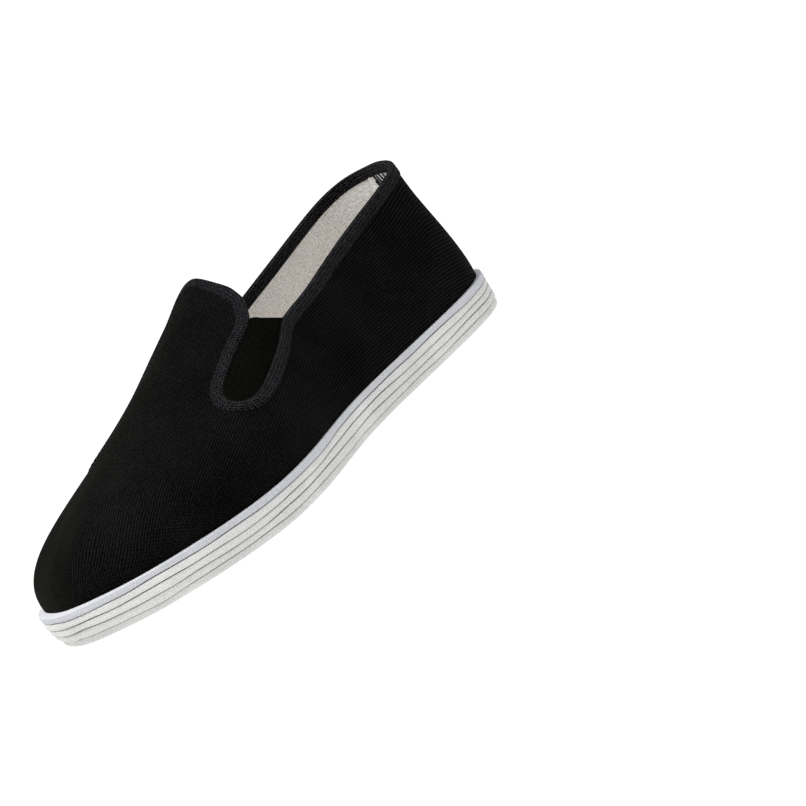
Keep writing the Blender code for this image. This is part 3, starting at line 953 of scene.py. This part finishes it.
@dataclass
class Tape:
    """The tape folded over the opening's edge, and its two rows of stitches."""

    last: Last
    opening: Opening
    wardrobe: Wardrobe
    outer_width: float = 5.4
    inner_width: float = 4.8
    throat_narrowing: float = 0.24
    throat_reach: float = 0.09
    proud: float = 0.5
    stitch_rows: tuple[float, ...] = (4.5, 3.3)
    stitch: Grain = Grain(2.6, 0.72, 0.24, 0.16)

    def border(self, distance: float) -> Array:
        """The edge moved by a distance, and less at the throat, by a bell curve of the turn.

        Args:
            distance: millimetres from the free edge.

        Returns:
            The line as turn and rise.
        """
        edge = self.opening.edge
        narrow = 1 - self.throat_narrowing * np.exp(-(((edge[:, :1] - 0.5) / self.throat_reach) ** 2))
        return edge + narrow * (self.opening.beside(distance) - edge)

    def build(self) -> None:
        """Carries the tape's section round the edge.

        The section is a ring of points, each with a distance from the free edge and a height over the twill. A
        ring's place is read along the straight line, in turn and rise, between the edge and the tape's border.
        """
        top, bottom = self.proud, -(self.last.wall + self.proud)
        fold = np.linspace(0, np.pi, 9)
        ring = [(self.outer_width, -0.2), (self.outer_width, top - 0.2), (self.outer_width - 0.25, top)]
        ring += [(w, top + 0.08 * math.sin(w)) for w in (4.2, 3.4, 2.6, 1.8)]
        middle, half = (top + bottom) / 2, (top - bottom) / 2
        ring += [(1.0 - 1.0 * math.sin(a), middle + half * math.cos(a)) for a in fold]
        ring += [(2.4, bottom), (3.4, bottom), (self.inner_width - 0.3, bottom)]
        ring += [(self.inner_width, bottom + 0.25), (self.inner_width, -self.last.wall + 0.2)]
        edge = self.opening.edge
        count = self.opening.count
        turn = np.arange(count) / count
        outer_border, inner_border = self.border(self.outer_width), self.opening.beside(self.inner_width)
        rings, cloth = [], []
        seen = 0.0
        for k, (width, height) in enumerate(ring):
            inside = height < middle
            border, full = (inner_border, self.inner_width) if inside else (outer_border, self.outer_width)
            share = width / full
            stray = waver(turn, 3, 0.12) * (share > 0.9)
            place = edge + (share + stray[:, None] / full) * (border - edge)
            rings.append(self.last.off(place, np.full(count, height)))
            if k:
                seen += math.hypot(width - ring[k - 1][0], height - ring[k - 1][1])
            cloth.append(np.stack([np.full(count, seen), turn * self.opening.period], -1))
        points = self.last.placed(np.array(rings))
        tape = make_piece(
            "binding_tape", points, grid_faces(len(ring), count, closed_rows=True), [self.wardrobe.get(TAPE)],
            np.array(cloth), period=self.opening.period,
        )
        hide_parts("binding")
        self.sew()

    def sew(self) -> None:
        """Sets rows of short stitches along the tape's outer leg."""
        lines = []
        for width in self.stitch_rows:
            place = self.border(width)
            line = self.last.off(place, np.full(self.opening.count, self.proud))
            up = self.last.slopes(*place.T)[2]
            lines.append(stitches_along(line, up, self.stitch))
        thread = stitch_piece("tape_stitches", self.last, np.concatenate(lines), self.wardrobe.get(BLACK_THREAD))


def stitches_along(line: Array, up: Array, grain: Grain) -> Array:
    """Stitches set end to end along a closed line.

    Each is a grain: its width and height follow the square root of a sine along it, and its cross section is an
    ellipse.

    Args:
        line: points of the closed line.
        up: unit normals of what it is sewn into.
        grain: size of the stitches.

    Returns:
        An array of stitches, rings, points round a ring, and x, y, z.
    """
    closed, run = closed_run(line)
    count = max(4, int(round(run[-1] / grain.pitch)))
    part = np.linspace(0, 1, GRAIN_SIDES)
    at = ((np.arange(count)[:, None] + 0.5 + grain.share * (part - 0.5)) * run[-1] / count) % run[-1]
    normals = np.vstack([up, up[:1]])
    middle, lift = read_at(at, run, closed), read_at(at, run, normals)
    along = unit(np.repeat((middle[:, -1] - middle[:, 0])[:, None], len(part), axis=1))
    across = np.cross(lift, along)
    size = np.sqrt(np.clip(np.sin(np.pi * (0.06 + 0.88 * part)), 0, 1))[None, :, None, None]
    ring = (
        grain.half_width * np.cos(GRAIN_ANGLES)[:, None] * across[:, :, None]
        + grain.half_height * np.sin(GRAIN_ANGLES)[:, None] * lift[:, :, None]
    )
    return middle[:, :, None] + size * ring


def stitch_piece(name: str, last: Last, grains: Array, material: bpy.types.Material) -> bpy.types.Object:
    """Joins many stitches into one piece, each with closed ends.

    Args:
        name: name of the piece.
        last: the form, for placing.
        grains: stitches, rings, the six points round a ring, and x, y, z.
        material: the thread.

    Returns:
        The new piece.
    """
    count, rings, around = grains.shape[:3]
    low = np.array([[0, 5, 4, 1], [1, 4, 3, 2]])
    high = low[:, ::-1] + (rings - 1) * around
    one = np.concatenate([grid_faces(rings, around), low, high])
    size = rings * around
    faces = (one[None] + np.arange(count)[:, None, None] * size).reshape(-1, 4)
    run = np.linspace(0, 5, rings)[None, :, None] + np.zeros((count, rings, around))
    turn = np.arange(around)[None, None, :] * 0.5 + np.zeros((count, rings, around))
    return make_piece(name, last.placed(grains), faces, [material], np.stack([turn, run], -1))


@dataclass
class Gusset:
    """The elastic panel in one slot."""

    last: Last
    opening: Opening
    wardrobe: Wardrobe
    lateral: bool
    depth: float = 0.6
    thickness: float = 1.1
    overlap: float = 1.2
    rear_raise: int = 10
    top_dip: float = 0.012
    top_swing: float = 0.009
    swing_start: float = 0.25
    swing_rate: float = 1.43
    closed_share: float = 0.975
    sag: float = 0.2
    ripple: float = 0.05
    ripple_rate: float = 19.0
    rows: int = 60
    columns: int = 28

    def build(self) -> None:
        """Rules the panel from the slot's rear flank to its front flank, with a sag between them.

        A row joins two places at equal distances from the closed end. The sag is a parabola across the row, and
        the panel's top edge waves by a fraction of a millimetre.
        """
        border = self.opening.beside(self.overlap)
        slot = self.opening.slot(self.lateral)
        step = slot[1] - slot[0]
        slot = np.concatenate([slot[0] - step * np.arange(self.rear_raise, 0, -1), slot])
        run = border[slot]
        middle = (len(run) - 1) / 2
        steps = np.linspace(0, self.closed_share, self.rows) * middle
        rear, front = (read_at(at, np.arange(len(run)), run) for at in (steps, len(run) - 1 - steps))
        across = np.linspace(0, 1, self.columns)[None, :, None]
        place = rear[:, None] + across * (front - rear)[:, None]
        share = across[..., 0]
        down = np.linspace(0, 1, self.rows)[:, None]
        start = self.swing_start
        swing = np.sin(2 * np.pi * np.clip(start + self.swing_rate * (share - start), 0, 1))
        arch = 4 * share * (1 - share)
        place[..., 1] -= (self.top_dip * arch - self.top_swing * swing) * (1 - down) ** 2
        sag = self.sag * arch * (1 - down) + self.ripple * np.sin(share * self.ripple_rate) * np.exp(-down * 9)
        outer, inner = (self.last.off(place, -depth - sag) for depth in (self.depth, self.depth + self.thickness))
        width = np.linalg.norm(outer[:, -1] - outer[:, 0], axis=-1)
        run_down = run_along(outer[:, self.columns // 2])
        cloth = np.stack([(share - 0.5) * width[:, None], run_down[:, None] + 0 * share], -1)
        name = "gusset_lateral" if self.lateral else "gusset_medial"
        front = grid_faces(self.rows, self.columns, ring=False)
        panel = make_shell("elastic_" + name, self.last, (outer, inner), front, self.wardrobe.get(ELASTIC), cloth)
        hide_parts(name)


# The sole


class Layer(NamedTuple):
    """One cloth layer of the sole: its node, finish, and how far its edge stands back."""

    node: str
    finish: ClothFinish
    slot: str
    inset: float


LAYERS = (
    Layer("outsole", SOLE_CLOTH, "bleached_cotton", 0.9),
    Layer("sole_layer_2", SOLE_CLOTH, "bleached_cotton", 0.3),
    Layer("sole_layer_3", SOLE_CLOTH, "bleached_cotton", 0.2),
    Layer("sole_layer_4", SOLE_CLOTH, "bleached_cotton", 0.1),
    Layer("welt_layer", WELT_CLOTH, "bluish_cotton", 0.0),
)


@dataclass
class Sole:
    """The five cloth layers, the insole, and the stitching under the foot."""

    last: Last
    wardrobe: Wardrobe
    thickness: float = 2.6
    gap: float = 0.3
    rounding: float = 0.7
    tread_rounding: float = 1.68
    wave: float = 0.42
    stray: float = 0.16
    undercut: float = 2.4
    hidden_width: float = 7.0
    points: int = 480
    fine_points: int = 1200
    slack: float = 0.2
    border_width: float = 9.0
    border_step: float = 0.45
    seam_step: float = 0.22
    seam_width: float = 2.3
    first_row: float = 4.4
    insole_thickness: float = 1.5
    row_pitch: float = 5.5
    shortest_row: float = 30.0
    cord_stitch: Grain = Grain(6.6, 0.80, 0.85, 0.40)
    border_stitch: Grain = Grain(3.0, 0.70, 0.35, 0.20)
    hole_radius: float = 0.62
    hole_depth: float = 0.16
    spine_end: float = 30.0

    @property
    def turn(self) -> Array:
        """Places of a ring's points round the shoe."""
        return np.arange(self.points) / self.points

    def ring(self, inset: Array | float, height: Array | float, seed: int, inward: float = 0.0) -> Array:
        """A ring of a plate: the sole outline moved in, then drawn towards the sole's spine.

        The spine is a straight line between the ring's heel and toe, shortened so that it ends inside the ring.

        Args:
            inset: how far inside the outline, square to it, one value or one for each point.
            height: height over the floor before the toe spring, one value or one for each point.
            seed: which uneven line it follows, 0 for a smooth one.
            inward: share of the way to the spine.

        Returns:
            The ring's points.
        """
        turn = self.turn
        stray = waver(turn, seed, self.stray) if seed else 0 * turn
        plan = self.last.sole_outline(turn) - (inset + stray)[:, None] * self.last.outward(turn)
        share = (plan[:, 1] + plan[-np.arange(self.points) % self.points, 1])[:, None] / 2 / self.last.length
        heel, toe = plan[0] + (0, self.spine_end), plan[self.points // 2] - (0, self.spine_end)
        plan = plan + inward * (heel + share * (toe - heel) - plan)
        return np.column_stack([plan, np.maximum(height + self.last.spring(plan[:, 1]), 0)])

    def plate(self, rings: Sequence[Array]) -> tuple[Array, Array]:
        """Closes rings that start and end on the spine into a plate.

        Args:
            rings: the rings in their order, the first and the last drawn in to the spine.

        Returns:
            The points, and the faces with each pair of points on the spine made one.
        """
        count = self.points
        faces = grid_faces(len(rings), count)
        own = np.arange(len(rings) * count)
        half = np.minimum(np.arange(count), -np.arange(count) % count)
        own[:count] = half
        own[-count:] = (len(rings) - 1) * count + half
        return np.array(rings), own[faces]

    def inset(self, index: int) -> Array:
        """How far a layer's edge stands back: its own inset, and more under the toe, where the lower layers recede.

        Args:
            index: the layer's place, from the floor up.

        Returns:
            The distance at each point. Under the toe it grows with the power 2.5 of the way down.
        """
        toe = self.last.end_part(self.turn) * (np.cos(2 * np.pi * self.turn) < 0)
        return LAYERS[index].inset + self.undercut * (1 - index / (len(LAYERS) - 1)) ** 2.5 * toe

    def side(self, inset: Array, base: float, seed: int) -> list[tuple[Array, float]]:
        """Rings of a layer's edge, from its bottom to its top.

        The edge is a superellipse of the fourth power: depth back = rounding (1 - (1 - h^4)^(1/4)), where h goes
        from -1 to 1 over the thickness. The tread's lower edge is rounded more. Where two layers meet, both
        follow one uneven line.

        Args:
            inset: how far the edge stands back at each point.
            base: height of the layer's bottom.
            seed: number of the layer, from 1 at the floor, which picks its uneven lines.

        Returns:
            Each ring with the distance up the edge.
        """
        h = np.sin(np.linspace(-0.97, 0.97, 11) * np.pi / 2)
        rounding = np.where((h < 0) & (base == 0), self.tread_rounding, self.rounding)
        back = rounding * (1 - (1 - np.abs(h) ** 4) ** 0.25)
        low = waver(self.turn, seed + 5, self.wave) * (seed > 1)
        high = waver(self.turn, seed + 6, self.wave) * (seed < len(LAYERS))
        up = (h + 1) / 2
        return [
            (self.ring(inset + b, base + self.thickness * u + (1 - u) * low + u * high, seed), self.thickness * u)
            for b, u in zip(back, up)
        ]

    def layer(self, index: int, row: Layer) -> None:
        """Makes one layer as a closed plate, drawn in a little under the toe towards the floor.

        Args:
            index: the layer's place, from the floor up.
            row: its node, finish, slot and inset.
        """
        base = index * (self.thickness + self.gap)
        top = base + self.thickness
        inset = self.inset(index)
        deep = inset + self.hidden_width
        if index == 0:
            border = inset + self.border_width
            rows = [(self.ring(border + 0.4, self.border_step, 0, s), None) for s in (1.0, 0.6, 0.3, 0.0)]
            rows.append((self.ring(border, self.seam_step, 0), -self.border_width))
            for back, height in ((self.seam_width, self.seam_step), (self.seam_width + 0.4, 0.0)):
                rows.append((self.ring(border - back, height, 0), back - self.border_width))
        else:
            rows = [(self.ring(deep, base, 0, s), None) for s in (1.0, 0.5)]
            rows.append((self.ring(deep, base, 0), -self.hidden_width))
        rows += self.side(inset, base, index + 1)
        rows += [(self.ring(inset + w, top, 0), self.thickness + w) for w in (self.rounding + 0.3, self.hidden_width)]
        rows += [(self.ring(deep, top, 0, s), None) for s in (0.5, 1.0)]
        points, faces = self.plate([ring for ring, _ in rows])
        around = run_along(self.last.sole_outline(np.append(self.turn, 1.0)))
        cloth = np.array([
            ring[:, :2] if run is None else np.stack([np.full(self.points, run), around[:-1]], -1)
            for ring, run in rows
        ])
        materials = [self.wardrobe.get(row.finish)]
        picks = None
        if index == 0:
            materials.append(self.wardrobe.get(WELT_CLOTH))
            picks = (np.arange(len(faces)) < 6 * self.points).astype(int)
        name = row.node.replace("outsole", "sole_layer_1") + "_cloth"
        item = make_piece(name, self.last.placed(points), faces, materials, cloth, picks, 50.0, around[-1])
        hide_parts(row.node)

    def insole(self) -> None:
        """Makes the sock inside the shoe: a thin plate whose top is a little crowned."""
        last, turn = self.last, self.turn
        inset = last.rim + last.wall + last.ledge(turn) + last.end_tuck * last.end_part(turn)
        base = last.sole_height + 0.05
        top = base + self.insole_thickness
        rings = [self.ring(inset, base, 0, s) for s in (1.0, 0.5, 0.0)]
        rings += [self.ring(inset - 0.3, base + 0.5 * self.insole_thickness, 0)]
        rings += [self.ring(inset + 0.2, top - 0.1, 0), self.ring(inset + 1.0, top, 0)]
        rings += [self.ring(inset + 1.0, top + 0.15, 0, s) for s in (0.35, 0.7, 1.0)]
        points, faces = self.plate(rings)
        cloth = points[..., :2]
        item = make_piece("insole_cloth", self.last.placed(points), faces, [self.wardrobe.get(LINING)], cloth)
        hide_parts("insole")

    def loops(self, distance: float) -> list[Array]:
        """Closed lines at one distance inside the outsole's outline.

        A point of the moved outline is kept where no part of the outline is nearer than the distance. Kept runs
        are joined end to nearest start.

        Args:
            distance: how far inside, in millimetres.

        Returns:
            A list of lines of plan points.
        """
        turn = np.arange(self.fine_points) / self.fine_points
        outline = self.last.sole_outline(turn)
        moved = outline - distance * self.last.outward(turn)
        nearest = np.linalg.norm(moved[:, None] - outline[None], axis=-1).min(1)
        keep = nearest > distance - self.slack
        if not keep.any():
            return []
        if keep.all():
            return [moved]
        start = int(np.argmin(keep))
        order = (start + np.arange(len(turn))) % len(turn)
        flags = keep[order].astype(int)
        begins = np.nonzero(np.diff(np.concatenate([[0], flags])) == 1)[0]
        ends = np.nonzero(np.diff(np.concatenate([flags, [0]])) == -1)[0]
        runs = [moved[order[a:b + 1]] for a, b in zip(begins, ends) if b - a > 3]
        found = []
        while runs:
            line = [runs.pop(0)]
            while runs:
                gaps = [np.linalg.norm(r[0] - line[-1][-1]) for r in runs]
                if min(gaps) > np.linalg.norm(line[0][0] - line[-1][-1]):
                    break
                line.append(runs.pop(int(np.argmin(gaps))))
            found.append(np.concatenate(line))
        return found

    def quilting(self) -> None:
        """Sews the rows of cord stitches and their needle holes under the sole, and the border's fine stitches."""
        grains, holes = [], []
        distance = self.border_width + self.first_row
        while True:
            rows = [row for row in self.loops(distance) if run_along(row)[-1] > self.shortest_row]
            if not rows:
                break
            for row in rows:
                line = np.column_stack([row, self.border_step + self.last.spring(row[:, 1])])
                grains.append(stitches_along(line, np.tile(DOWN, (len(line), 1)), self.cord_stitch))
                holes.append(self.pits(line))
            distance += self.row_pitch
        cord = stitch_piece("sole_stitches", self.last, np.concatenate(grains), self.wardrobe.get(CORD))
        # The needle holes are dark grains with painted shade, not real openings
        pits = stitch_piece("needle_hole_shades", self.last, np.concatenate(holes), self.wardrobe.get(HOLE_SHADE))
        line = self.ring(self.inset(0) + self.border_width - self.seam_width / 2, self.seam_step, 0)
        fine = stitches_along(line, np.tile(DOWN, (len(line), 1)), self.border_stitch)
        thread = stitch_piece("border_stitches", self.last, fine, self.wardrobe.get(WHITE_THREAD))

    def pits(self, line: Array) -> Array:
        """Short flat grains where two stitches of a row meet, dark with painted shade, which stand for the holes of the
        awl.

        Args:
            line: points of the row.

        Returns:
            Grains, rings, points round a ring, and x, y, z.
        """
        closed, run = closed_run(line)
        total = run[-1]
        count = max(4, int(round(total / self.cord_stitch.pitch)))
        at = np.arange(count) * total / count
        middle = read_at(at, run, closed)
        along = unit((read_at((at + 1) % total, run, closed) - middle) * (1, 1, 0))
        across = np.cross(along, DOWN)
        part = np.linspace(-1, 1, GRAIN_SIDES)
        size = np.sqrt(np.clip(1 - (0.93 * part) ** 2, 0, 1))[None, :, None, None]
        ring = (
            -self.hole_radius * np.cos(GRAIN_ANGLES)[:, None] * across[:, None, None]
            + self.hole_depth * np.sin(GRAIN_ANGLES)[:, None] * DOWN
        )
        spine = middle[:, None] + self.hole_radius * part[None, :, None] * along[:, None]
        return spine[:, :, None] + size * ring

    def build(self) -> None:
        """Makes every layer from the floor up, the insole and the stitching."""
        for index, row in enumerate(LAYERS):
            self.layer(index, row)
        self.insole()
        self.quilting()


class Stroke(NamedTuple):
    """A hand stitch on the lining, between two places."""

    start_turn: float
    start_rise: float
    end_turn: float
    end_rise: float


@dataclass
class BackStitches:
    """The black hand stitches inside the heel, at the top of the back seam."""

    last: Last
    wardrobe: Wardrobe
    strokes: tuple[Stroke, ...] = (
        Stroke(0.014, 0.927, 0.026, 0.845),
        Stroke(0.024, 0.923, 0.036, 0.835),
        Stroke(0.034, 0.927, 0.046, 0.855),
        Stroke(0.046, 0.920, 0.054, 0.865),
        Stroke(0.020, 0.835, 0.012, 0.895),
    )
    radius: float = 0.34
    start: float = 0.1
    arch: float = 0.3

    def build(self) -> None:
        """Carries a round section along each stroke, arched over the lining by half a sine."""
        part = np.linspace(0, 1, 7)
        grains = []
        for stroke in self.strokes:
            place = stroke[:2] + part[:, None] * np.subtract(stroke[2:], stroke[:2])
            normal = self.last.slopes(*place.T)[2]
            line = self.last.off(place, -self.last.wall - self.start - self.arch * np.sin(np.pi * part))
            across = np.cross(normal, unit(np.gradient(line, axis=0)))
            ring = (
                np.cos(GRAIN_ANGLES)[:, None] * across[:, None] + np.sin(GRAIN_ANGLES)[:, None] * normal[:, None]
            )
            grains.append(line[:, None] + self.radius * ring)
        item = stitch_piece("back_seam_stitches", self.last, np.array(grains), self.wardrobe.get(BLACK_THREAD))


# The studio


@dataclass
class Studio:
    """Floor, light and camera. The camera keeps the photo's angle to the shoe and its roll."""

    last: Last
    azimuth: float = 41.47
    elevation: float = 10.14
    roll: float = -32.17
    distance: float = 930.95
    focal: float = 3503.72
    target: tuple[float, float, float] = (292.28, 400.51, 69.73)
    floor_size: float = 20.0
    floor_glow: float = 0.95
    sky_strength: float = 0.5

    def floor(self) -> None:
        """Lays a plain pale floor."""
        size = self.floor_size
        mesh = bpy.data.meshes.new("studio_floor")
        mesh.from_pydata([(-size, -size, 0), (size, -size, 0), (size, size, 0), (-size, size, 0)], [], [(0, 1, 2, 3)])
        material = bpy.data.materials.new("white_paper_matt")
        material.use_nodes = True
        shader = material.node_tree.nodes["Principled BSDF"]
        shader.inputs["Base Color"].default_value = linear("#6C6C6C")
        shader.inputs["Roughness"].default_value = 1.0
        shader.inputs["Specular IOR Level"].default_value = 0.0
        shader.inputs["Emission Color"].default_value = (1, 1, 1, 1)
        shader.inputs["Emission Strength"].default_value = self.floor_glow
        mesh.materials.append(material)
        add_object("studio_floor", mesh)

    def lamp(self, name: str, place: tuple[float, float, float], size: float, power: float) -> None:
        """Hangs a square soft light that faces the shoe.

        Args:
            name: name of the light.
            place: where it hangs, in metres.
            size: length of its side.
            power: its power in watts.
        """
        data = bpy.data.lights.new(name, "AREA")
        data.shape = "SQUARE"
        data.size = size
        data.energy = power
        item = add_object(name, data)
        item.location = place
        item.rotation_euler = (Vector((0, 0, 0.03)) - Vector(place)).to_track_quat("-Z", "Y").to_euler()

    def camera(self) -> None:
        """Sets the camera from its angles: back looks from the target to the camera, and the roll turns the rest."""
        a, e, r = (math.radians(v) for v in (self.azimuth, self.elevation, self.roll))
        back = np.array([math.sin(a) * math.cos(e), -math.cos(a) * math.cos(e), math.sin(e)])
        right = np.array([math.cos(a), math.sin(a), 0.0])
        up = np.cross(back, right)
        side, top = math.cos(r) * right + math.sin(r) * up, -math.sin(r) * right + math.cos(r) * up
        place = self.last.placed(np.array(self.target)) + self.distance * MM * back
        data = bpy.data.cameras.new("camera")
        data.sensor_width = 36.0
        data.lens = self.focal / PICTURE * data.sensor_width
        data.clip_start, data.clip_end = 0.05, 30.0
        item = add_object("camera", data)
        turn = Matrix([side, top, back]).transposed().to_4x4()
        item.matrix_world = Matrix.Translation(Vector(place)) @ turn
        bpy.context.scene.camera = item

    def build(self) -> None:
        """Sets up the whole studio."""
        scene = bpy.context.scene
        scene.view_settings.view_transform = "Standard"
        world = bpy.data.worlds.new("studio")
        world.use_nodes = True
        world.node_tree.nodes["Background"].inputs[0].default_value = (1.0, 1.0, 1.0, 1.0)
        world.node_tree.nodes["Background"].inputs[1].default_value = self.sky_strength
        scene.world = world
        self.floor()
        self.lamp("key_light", (-0.25, -0.35, 1.5), 1.4, 30.0)
        self.lamp("fill_light", (1.2, -0.8, 0.8), 1.0, 2.0)
        self.camera()


def main() -> None:
    """Builds the shoe and the studio in order."""
    logging.basicConfig(level=logging.INFO, format="%(message)s")
    last = Last()
    opening = Opening(last)
    wardrobe = Wardrobe()
    Sole(last, wardrobe).build()
    Upper(last, opening, wardrobe).build()
    Tape(last, opening, wardrobe).build()
    for lateral in (False, True):
        Gusset(last, opening, wardrobe, lateral).build()
    BackStitches(last, wardrobe).build()
    Studio(last).build()


if __name__ == "__main__":
    main()
